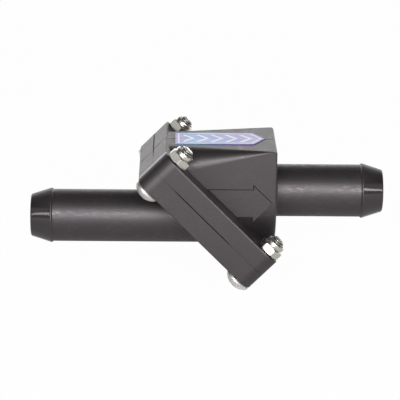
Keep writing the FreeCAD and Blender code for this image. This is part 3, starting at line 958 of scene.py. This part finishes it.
@dataclass(frozen=True)
class LockNut:
    """Hexagon nut with chamfered corners and a round collar that is rolled in over a nylon ring."""

    flats: float = 7.8 * MM
    hex_height: float = 3.4 * MM
    height: float = 4.95 * MM
    collar_radius: float = 3.55 * MM
    foot: float = 0.15 * MM
    overlap: float = 0.05 * MM
    neck: float = 0.25 * MM
    lip_round: float = 0.55 * MM
    mouth: float = 2.95 * MM
    mouth_bevel: Span = (0.1 * MM, 0.12 * MM)
    recess: float = 0.75 * MM
    bore: float = 2.55 * MM
    chamfer: float = 1.05 * MM
    chamfer_slope: float = 33.0
    corner_bevel: float = 0.16 * MM
    facets: int = 48

    def mesh(self) -> BMesh:
        """Builds the nut.

        Returns:
            Hexagon and collar as one bmesh.
        """
        mesh = bmesh.new()
        corner = hex_corner(self.flats)
        bmesh.ops.create_cone(mesh, cap_ends=True, segments=6, radius1=corner, radius2=corner,
                              depth=self.hex_height,
                              matrix=Matrix.Translation((0, 0, self.hex_height / 2)))
        for end in (-1, 1):
            self._chamfer(mesh, end, corner)
        mesh.normal_update()
        corners = [edge for edge in mesh.edges if len(edge.link_faces) == 2
                   and all(abs(face.normal.z) < UPRIGHT for face in edge.link_faces)]
        bmesh.ops.bevel(mesh, geom=corners, offset=self.corner_bevel, offset_type="OFFSET",
                        affect="EDGES", segments=1, profile=0.5, material=-1)
        join(mesh, self._collar())
        return mesh

    def _chamfer(self, mesh: BMesh, end: int, corner: float) -> None:
        """Takes the corners off one end of the hexagon with planes laid round the axis.

        Args:
            mesh: The hexagon.
            end: 1 for the collar's end, -1 for the seat.
            corner: Radius of the hexagon's corners.
        """
        slope = math.radians(self.chamfer_slope)
        face = self.hex_height if end > 0 else 0.0
        for step in range(self.facets):
            turn = math.tau * (step + 0.5) / self.facets
            outward = Vector((math.cos(turn), math.sin(turn), 0))
            normal = outward * math.sin(slope) + Vector((0, 0, end * math.cos(slope)))
            spot = outward * (corner - self.chamfer) + Vector((0, 0, face))
            cut = bmesh.ops.bisect_plane(
                mesh, geom=list(mesh.verts) + list(mesh.edges) + list(mesh.faces), dist=TINY,
                plane_co=spot, plane_no=normal, clear_outer=True)
            rim = [item for item in cut["geom_cut"]
                   if isinstance(item, BMEdge) and item.is_boundary]
            if len(rim) > 2:
                bmesh.ops.edgeloop_fill(mesh, edges=rim)

    def _collar(self) -> BMesh:
        """Turns the collar with its rolled lip and the bore.

        Returns:
            The collar as a bmesh.
        """
        bottom, waist = self.hex_height - self.overlap, self.hex_height + self.foot
        foot = [(self.collar_radius - self.neck, bottom), (self.collar_radius - self.neck, waist),
                (self.collar_radius, waist + self.neck)]
        centre = (self.collar_radius - self.lip_round, self.height - self.lip_round)
        lip = arc_points(centre, self.lip_round, 0, 90, 7)
        inner = [(self.mouth + self.mouth_bevel[0], self.height),
                 (self.mouth, self.height - self.mouth_bevel[1]),
                 (self.mouth, self.height - self.recess), (self.bore, self.height - self.recess),
                 (self.bore, bottom)]
        return spin_profile(foot + lip + inner)


@dataclass(frozen=True)
class NylonRing:
    """Ring in the lock nut's collar that grips the thread."""

    outer: float = 2.97 * MM
    inner: float = 2.48 * MM
    low: float = 3.9 * MM
    high: float = 4.5 * MM
    lip: float = 0.15 * MM

    def mesh(self) -> BMesh:
        """Builds the ring."""
        return spin_profile([
            (self.inner, self.low), (self.outer, self.low), (self.outer, self.high - self.lip),
            (self.outer - self.lip, self.high), (self.inner + self.lip, self.high),
            (self.inner, self.high - self.lip), (self.inner, self.low)])


@dataclass
class Fasteners:
    """Four screws with their lock nuts, heads on the inlet side."""

    flange: Flange
    steel: Material
    dome_steel: Material
    nylon: Material
    screw: DomeScrew = field(default_factory=DomeScrew)
    nut: LockNut = field(default_factory=LockNut)
    ring: NylonRing = field(default_factory=NylonRing)
    screw_turns: Sequence[float] = (0.0, 0.35, 0.0, 0.2)
    nut_turns: Sequence[float] = (-0.07, -0.07, 0.23, -0.15)

    def spots(self) -> list[Span]:
        """Places of the screws on the flange, in the order of the nodes."""
        half = self.flange.half_bolt
        return [(along, across) for along in (-half, half) for across in (-half, half)]

    def build(self) -> None:
        """Makes each screw, nut and ring and puts it on the flange."""
        under, over = -self.flange.inlet_plate, self.flange.outlet_plate
        for number, (along, across) in enumerate(self.spots(), start=1):
            screw_turn, nut_turn = self.screw_turns[number - 1], self.nut_turns[number - 1]
            for name, shape, height, turn, finish, nodes in (
                    ("dome_screw", self.screw, under, screw_turn, self.dome_steel,
                     [f"flange_screw_{number}"]),
                    ("collar_nut", self.nut, over, nut_turn, self.steel, [f"lock_nut_{number}"]),
                    ("nylon_ring", self.ring, over, 0.0, self.nylon, [])):
                mesh = shape.mesh()
                place = self.flange.matrix(along, across, height) @ Matrix.Rotation(turn, 4, "Z")
                bmesh.ops.transform(mesh, matrix=place, verts=mesh.verts)
                attach(new_piece(f"{name}_{number}", mesh, finish), Body.HOUSING, nodes)


@dataclass
class Halves:
    """The two moulded halves, copied from the frame with their edges rounded."""

    flange: Flange
    plastic: Material
    plate_round: float = 0.45 * MM
    joint_round: float = 0.05 * MM
    shell_round: float = 0.9 * MM
    parting_width: float = 0.5 * MM
    parting_depth: float = 0.2 * MM
    roof_depth: float = 4 * MM
    end_depth: float = 16 * MM
    inlet_shift: float = -1.5 * MM
    arrow_recess: float = 0.3 * MM
    arrow_line: float = 0.17 * MM
    arrow_depth: float = 0.35 * MM
    shoulder_step: float = 1.6 * MM
    cone_start: float = 0.2 * MM
    cone_skin: Span = (0.94, 1.01)
    cone_facing: float = 0.9
    cone_margin: float = 0.72 * MM
    tail_fillet: float = 1.0 * MM
    tail_wall: Span = (9.3 * MM, 9.7 * MM)
    mouth_round: float = 0.5 * MM
    mouth_reach: float = 8 * MM
    bore_round: float = 0.35 * MM
    bore_play: float = 0.1 * MM
    shell_reach: float = 17 * MM

    def build(self) -> None:
        """Makes both halves."""
        axis = MOUNTS["outlet_bore"]["pos_m"][2]
        shell = measure_shell(axis)
        LOG.info("shell: end %.2f, half width %.2f, roof %.2f mm",
                 shell.end / MM, shell.half_width / MM, shell.roof / MM)
        inlet_rules = self._common_rules(-self.flange.inlet_plate, 0.0, 0.0)
        self._half("inlet_half", "inlet_body", inlet_rules, self.inlet_shift)
        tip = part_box("outlet_body")[1].x
        outlet_rules = self._common_rules(self.flange.outlet_plate, tip, axis) + [
            EdgeRule(self.tail_fillet, on_ring(shell.end, axis, *self.tail_wall), segments=5),
            EdgeRule(self.shell_round, on_ring(shell.end, axis, self.shell_reach, math.inf))]
        self._half("outlet_half", "outlet_body", outlet_rules, 0.0, shell)

    def _common_rules(self, face: float, tip: float, axis: float) -> list[EdgeRule]:
        """Edges that both halves have: the plate's rim, the joint, and the tail's mouth and bore.

        Args:
            face: Height of the plate's outer face over the joint.
            tip: Place of the tail's end along the part.
            axis: Height of the tail's axis.

        Returns:
            How those edges are rounded.
        """
        bore = MOUNTS["inlet_bore"]["dims"]["r_mm"] * MM
        mouth = on_ring(tip, axis, bore + self.mouth_round, self.mouth_reach)
        edge = on_ring(tip, axis, bore - self.bore_play, bore + self.bore_play)
        return [EdgeRule(self.plate_round, lambda spot: self.flange.on_rim(spot, face)),
                EdgeRule(self.joint_round, lambda spot: self.flange.on_rim(spot, 0.0), segments=1),
                EdgeRule(self.mouth_round, mouth), EdgeRule(self.bore_round, edge)]

    def _half(self, name: str, node: str, rules: list[EdgeRule], parting: float,
              shell: Shell | None = None) -> None:
        """Copies a node, rounds its edges, scores its lines and puts the copy in its place.

        Args:
            name: Name of the new piece.
            node: Node that it stands for.
            rules: Which edges are rounded, and how much.
            parting: Place of its mould line across the part.
            shell: The chamber's outside, if the half has one.
        """
        mesh = merged_copy(node)
        if shell is not None:
            self._score_arrows(mesh, shell)
        for rule in rules:
            LOG.info("%s: %d edges rounded by %.2f mm", name, rule.apply(mesh), rule.width / MM)
        if shell is not None:
            self._even_shoulders(mesh, shell)
        self._score_parting(mesh, parting)
        attach(new_piece(name, mesh, self.plastic), Body.HOUSING, [node])

    def _even_shoulders(self, mesh: BMesh, shell: Shell) -> None:
        """Divides the shoulders along the part and puts their points on the true cones.

        Args:
            mesh: The half with the shell.
            shell: The chamber's outside.
        """
        for side in (-1, 1):
            apex, axis, slope = shell.cone(side)

            def radial(spot: Vector) -> tuple[float, Vector]:
                """Length along the cone's axis and the offset from it."""
                along = (spot - apex).dot(axis)
                return along, spot - apex - along * axis

            def on_cone(face: BMFace) -> bool:
                """Whether a face lies on the cone."""
                along, offset = radial(face.calc_center_median())
                flat = max(abs(face.normal.y), abs(face.normal.z)) > SQUARE
                least, most = (slope * along * share for share in self.cone_skin)
                outward = face.normal.dot(offset.normalized()) > self.cone_facing
                inner = max(vert.co.x for vert in face.verts) < shell.end - self.cone_margin
                return (not flat and along > self.shell_round and least < offset.length < most
                        and outward and inner)

            mesh.normal_update()
            skin = [face for face in mesh.faces if on_cone(face)]
            count = len(skin)
            low = min(vert.co.x for face in skin for vert in face.verts)
            plane = shell.end - self.shell_round
            while plane > low:
                skin, _ = cut_faces(mesh, skin, Vector((plane, 0, 0)), Vector((1, 0, 0)))
                plane -= self.shoulder_step
            for vert in {vert for face in skin for vert in face.verts}:
                along, offset = radial(vert.co)
                if slope * along > self.cone_start:
                    vert.co = apex + along * axis + offset.normalized() * slope * along
            LOG.info("shoulder: %d faces made %d", count, len(skin))

    def _score_arrows(self, mesh: BMesh, shell: Shell) -> None:
        """Cuts a thin groove along the upper outline of the sunken arrows.

        Args:
            mesh: The half with the arrows.
            shell: The chamber's outside.
        """
        depth = shell.half_width - self.arrow_recess
        pads = [face for face in mesh.faces if abs(face.normal.y) > SQUARE
                and abs(abs(face.calc_center_median().y) - depth) < NEAR]
        LOG.info("arrows: %d faces", len(pads))
        for pad in pads:
            inward = -pad.normal
            inset = {"faces": [pad], "thickness": self.arrow_line, "use_even_offset": True}
            bmesh.ops.inset_individual(mesh, **inset)
            loop = [vert for vert in pad.verts if vert.co.z > shell.axis_height]
            bmesh.ops.inset_individual(mesh, **inset)
            bmesh.ops.translate(mesh, verts=loop, vec=inward * self.arrow_depth)

    def _score_parting(self, mesh: BMesh, across: float) -> None:
        """Scores the mould line into the roof and the upper end of the flange.

        Args:
            mesh: The half.
            across: Place of the line across the part.
        """
        up = Vector((0, 0, 1))
        uphill = self.flange.matrix().to_3x3() @ Vector((-1, 0, 0))
        for outward, depth in ((uphill, self.end_depth), (up, self.roof_depth)):
            flat = [face for face in mesh.faces if face.normal.dot(outward) > SQUARE
                    and face.calc_center_median().z > CAD_BOUNDS[1].z - depth
                    and min(vert.co.y for vert in face.verts) < across
                    < max(vert.co.y for vert in face.verts)]
            middle = []
            for offset in (-self.parting_width / 2, self.parting_width / 2, 0.0):
                spot = Vector((0, across + offset, 0))
                flat, middle = cut_faces(mesh, flat, spot, Vector((0, 1, 0)))
            LOG.info("mould line: %d points", len(middle))
            bmesh.ops.translate(mesh, verts=middle, vec=-outward * self.parting_depth)


@dataclass
class FlapUnit:
    """Flap, seal, retainer and their screw and nut."""

    plastic: Material
    rubber: Material
    steel: Material
    edge: float = 0.22 * MM

    def build(self) -> None:
        """Makes each piece from its node with softened edges."""
        pieces = (("flap", self.plastic, Slot.FLAP), ("flap_seal", self.rubber, Slot.SEAL),
                  ("seal_retainer", self.steel, Slot.STEEL), ("flap_screw", self.steel, Slot.STEEL),
                  ("flap_nut", self.steel, Slot.STEEL))
        for node, finish, slot in pieces:
            mesh = merged_copy(node)
            EdgeRule(self.edge, lambda spot: True, segments=2).apply(mesh)
            attach(new_piece(f"soft_{node}", mesh, finish), Body.FLAP, [node])


def direction(azimuth: float, elevation: float) -> Vector:
    """Unit vector to a place round the part, in degrees; azimuth 0 is in front, 90 on the right."""
    side, up = math.radians(azimuth), math.radians(elevation)
    return Vector((math.sin(side) * math.cos(up), -math.cos(side) * math.cos(up), math.sin(up)))


@dataclass(frozen=True)
class Lamp:
    """Area light that faces the part from an azimuth and an elevation in degrees."""

    name: str
    azimuth: float
    elevation: float
    distance: float
    size: Span
    power: float

    def build(self, target: Vector) -> None:
        """Adds the light.

        Args:
            target: Point that it faces.
        """
        light = bpy.data.lights.new(self.name, "AREA")
        light.shape = "RECTANGLE"
        light.size, light.size_y = self.size
        light.energy = self.power
        lamp = bpy.data.objects.new(self.name, light)
        away = direction(self.azimuth, self.elevation)
        lamp.location = target + away * self.distance
        lamp.rotation_mode = "QUATERNION"
        lamp.rotation_quaternion = (-away).to_track_quat("-Z", "Y")
        bpy.context.scene.collection.objects.link(lamp)


@dataclass
class Studio:
    """Pale floor, front strip lights, dim room and the photograph's camera."""

    floor_height: float
    floor_radius: float = 3.0
    lamps: tuple[Lamp, ...] = (
        Lamp("wide_lamp", azimuth=0, elevation=20, distance=1.0, size=(0.90, 0.24), power=7.0),
        Lamp("thin_strip", azimuth=0, elevation=20, distance=1.2, size=(1.7, 0.008), power=5.6),
        Lamp("left_nose_card", azimuth=-40, elevation=15, distance=1.2, size=(0.20, 0.14), power=0.34),
        Lamp("right_nose_card", azimuth=42, elevation=15, distance=1.2, size=(0.24, 0.14), power=0.50),
        Lamp("left_card", azimuth=-54, elevation=26, distance=1.0, size=(0.44, 0.45), power=0.26),
        Lamp("right_card", azimuth=54, elevation=26, distance=1.0, size=(0.44, 0.45), power=0.26),
        Lamp("back_lamp", azimuth=180, elevation=13, distance=1.2, size=(1.8, 0.56), power=3.6))
    fill: float = 0.22
    dim: float = 0.07
    wall: float = 0.95
    wall_turn: Span = (0.3, 0.95)
    wall_top: Span = (0.55, 0.75)
    skirting: float = 0.26
    skirting_top: Span = (0.12, 0.30)
    skirting_turn: Span = (-0.2, 0.3)
    target: Vector = field(default_factory=lambda: Vector((61.37 * MM, 0, 10 * MM)))
    distance: float = 0.794
    azimuth: float = -0.64
    elevation: float = 15.53
    roll: float = -0.59
    focal_pixels: float = 2183.0
    image_pixels: float = 400.0
    centre_offset: float = 10.6
    sensor: float = 36.0
    clip: Span = (0.01, 20)

    def build(self) -> None:
        """Makes the floor, the lights, the world and the camera."""
        bpy.context.scene.view_settings.view_transform = "Standard"
        self._floor()
        for lamp in self.lamps:
            lamp.build(self.target)
        self._world()
        self._camera()

    def _floor(self) -> None:
        """Lays a wide disc under the part."""
        mesh = bmesh.new()
        bmesh.ops.create_circle(mesh, cap_ends=True, segments=64, radius=self.floor_radius,
                                matrix=Matrix.Translation((0, 0, self.floor_height)))
        floor = new_piece("floor", mesh, PaleFloor("pale_floor").material())

    def _world(self) -> None:
        """White for the camera; reflections see a pale wall behind the part and a dim room in front."""
        shader = Shader(bpy.data.worlds.new("studio"))
        bpy.context.scene.world = shader.owner
        heading = shader.node("ShaderNodeTexCoord", output="Generated")
        back, up = (shader.node("ShaderNodeSeparateXYZ", inputs={"Vector": heading}, output=axis)
                    for axis in "YZ")
        camera, glossy = (shader.node("ShaderNodeLightPath", output=f"Is {ray} Ray")
                          for ray in ("Camera", "Glossy"))
        wall = back.rise(*self.wall_turn) * (1 - up.rise(*self.wall_top)) * self.wall
        skirting = (1 - up.rise(*self.skirting_top)) * (1 - back.rise(*self.skirting_turn))
        room = self.dim + wall + skirting * self.skirting
        level = camera.most(glossy * room + (1 - glossy) * self.fill)
        background = shader.node("ShaderNodeBackground", inputs={"Color": WHITE, "Strength": level})
        shader.node("ShaderNodeOutputWorld", inputs={"Surface": background})

    def _camera(self) -> None:
        """Puts the camera where the photograph's was."""
        side, roll = math.radians(self.azimuth), math.radians(self.roll)
        back = direction(self.azimuth, self.elevation)
        right = Vector((math.cos(side), math.sin(side), 0))
        over = back.cross(right)
        tilted_right = right * math.cos(roll) - over * math.sin(roll)
        tilted_up = right * math.sin(roll) + over * math.cos(roll)
        data = bpy.data.cameras.new("camera")
        data.sensor_width = self.sensor
        data.lens = self.focal_pixels / self.image_pixels * self.sensor
        data.shift_y = -self.centre_offset / self.image_pixels
        data.clip_start, data.clip_end = self.clip
        camera = bpy.data.objects.new("camera", data)
        turned = Matrix((tilted_right, tilted_up, back)).transposed().to_4x4()
        camera.matrix_world = Matrix.Translation(self.target + back * self.distance) @ turned
        bpy.context.scene.collection.objects.link(camera)
        bpy.context.scene.camera = camera


def label_finish() -> Material:
    """Film whose print fits the label node.

    Returns:
        The label's material.
    """
    low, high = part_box("flow_label")
    corners = {round(vert.co.x, 6) for vert in frame["nodes"]["flow_label"].data.vertices}
    shoulder = sorted(corners)[1]
    film = PrintedFilm("label_print", start=low.x, shoulder=shoulder, tip=high.x, half_width=high.y)
    return film.material()


def main() -> None:
    """Builds the valve and its studio."""
    logging.basicConfig(level=logging.INFO, format="%(name)s: %(message)s")
    flange = measure_flange()
    joint = (flange.centre.x, flange.centre.z)
    clear = 0.15 * MM
    noses = (MOUNTS["inlet_tail"]["pos_m"][0] - clear, MOUNTS["outlet_tail"]["pos_m"][0] + clear)
    black = MouldedPlastic("black_plastic", nose_planes=noses, joint=joint, plate_side=flange.half_side,
                           plate_top=flange.outlet_plate).material()
    grey = MouldedPlastic("grey_plastic", colour=(0.06, 0.06, 0.065)).material()
    steel = Stainless("bright_steel").material()
    satin = ScrewSteel("satin_steel", colour=(0.87, 0.855, 0.82), stain_and_groove_shade=(0.70, 0.68, 0.63),
                       roughness=0.43, joint=joint, half_bolt=flange.half_bolt).material()
    soft_goods = (("nylon", (0.30, 0.30, 0.28), (0.2, 0.2, 0.18), 0.45),
                  ("seal_rubber", (0.035, 0.035, 0.036), (0.06, 0.058, 0.055), 0.7),
                  ("gasket_rubber", (0.025, 0.025, 0.026), (0.05, 0.05, 0.05), 0.75))
    nylon, seal, gasket = (SoftGoods(*values).material() for values in soft_goods)
    Halves(flange, black).build()
    Fasteners(flange, steel, satin, nylon).build()
    FlapUnit(grey, seal, steel).build()
    pin = Stainless("pin_steel", roughness=0.3).material()
    for node, finish in (("hinge_pin", pin), ("body_gasket", gasket), ("flow_label", label_finish())):
        dress_node(node, finish)
    Studio(floor_height=CAD_BOUNDS[0].z - 0.1 * MM).build()


if __name__ == "__main__":
    main()
